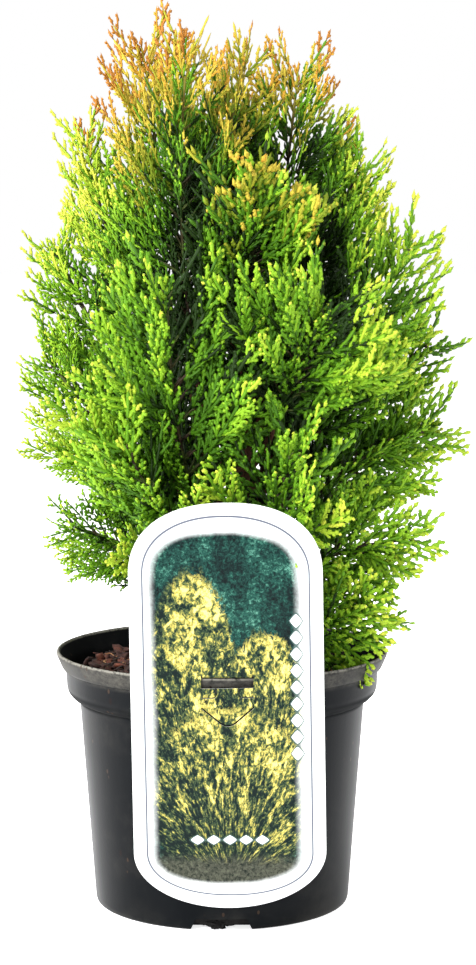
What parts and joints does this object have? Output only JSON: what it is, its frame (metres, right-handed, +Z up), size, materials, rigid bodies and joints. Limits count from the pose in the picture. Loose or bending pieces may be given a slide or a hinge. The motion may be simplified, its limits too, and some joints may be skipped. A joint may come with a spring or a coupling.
{
  "type": "potted conifer shrub",
  "caption": "Young oriental thuja with upswept flat sprays, green below and gold at the tips, in a round black nursery pot with a hanging picture label.",
  "frame": {"origin": "centre of the pot's flat underside, on the floor", "axes": "+Z up along the pot's axis, -Y towards the front, where the label hangs, +X to the right seen from the front"},
  "size_m": [0.1753, 0.1486, 0.3478],
  "materials": {
    "pot_plastic": "black polypropylene, dull, a little dusty at the lip",
    "compost": "damp bark and peat, rough",
    "label_plastic": "glossy white printed plastic",
    "bark": "thin reddish brown bark, flaking in strips",
    "foliage": "scale leaves, satin, bright green",
    "foliage_gold": "scale leaves, satin, gold to orange at the tips"
  },
  "bodies": {
    "root": {"bough_back_fan_left": "bark", "bough_back_fan_right": "bark", "bough_back_left": "bark", "bough_back_mid": "bark", "bough_back_right": "bark", "bough_crown_back": "bark", "bough_crown_front": "bark", "bough_crown_left": "bark", "bough_crown_mid": "bark", "bough_crown_right": "bark", "bough_fan_left": "bark", "bough_fan_right": "bark", "bough_front_right": "bark", "bough_heart_left": "bark", "bough_low_front_left": "bark", "bough_low_front_right": "bark", "bough_low_right": "bark", "bough_mid_left": "bark", "bough_mid_right": "bark", "bough_shoulder_left": "bark", "bough_shoulder_right": "bark", "bough_skirt_back": "bark", "bough_skirt_left": "bark", "bough_skirt_right": "bark", "bough_wing_right": "bark", "compost": "compost", "foliage_back_fan_left": "foliage", "foliage_back_fan_right": "foliage", "foliage_back_left": "foliage", "foliage_back_mid": "foliage", "foliage_back_right": "foliage", "foliage_crown_back": "foliage_gold", "foliage_crown_front": "foliage_gold", "foliage_crown_left": "foliage_gold", "foliage_crown_mid": "foliage_gold", "foliage_crown_right": "foliage_gold", "foliage_fan_left": "foliage", "foliage_fan_right": "foliage", "foliage_front_leader": "foliage_gold", "foliage_front_right": "foliage", "foliage_heart_left": "foliage", "foliage_low_front_left": "foliage", "foliage_low_front_right": "foliage", "foliage_low_right": "foliage", "foliage_mid_left": "foliage", "foliage_mid_right": "foliage", "foliage_shoulder_left": "foliage_gold", "foliage_shoulder_right": "foliage_gold", "foliage_skirt_back": "foliage", "foliage_skirt_left": "foliage", "foliage_skirt_right": "foliage", "foliage_wing_right": "foliage", "label": "label_plastic", "pot": "pot_plastic", "trunk": "bark"}
  },
  "joints": []
}
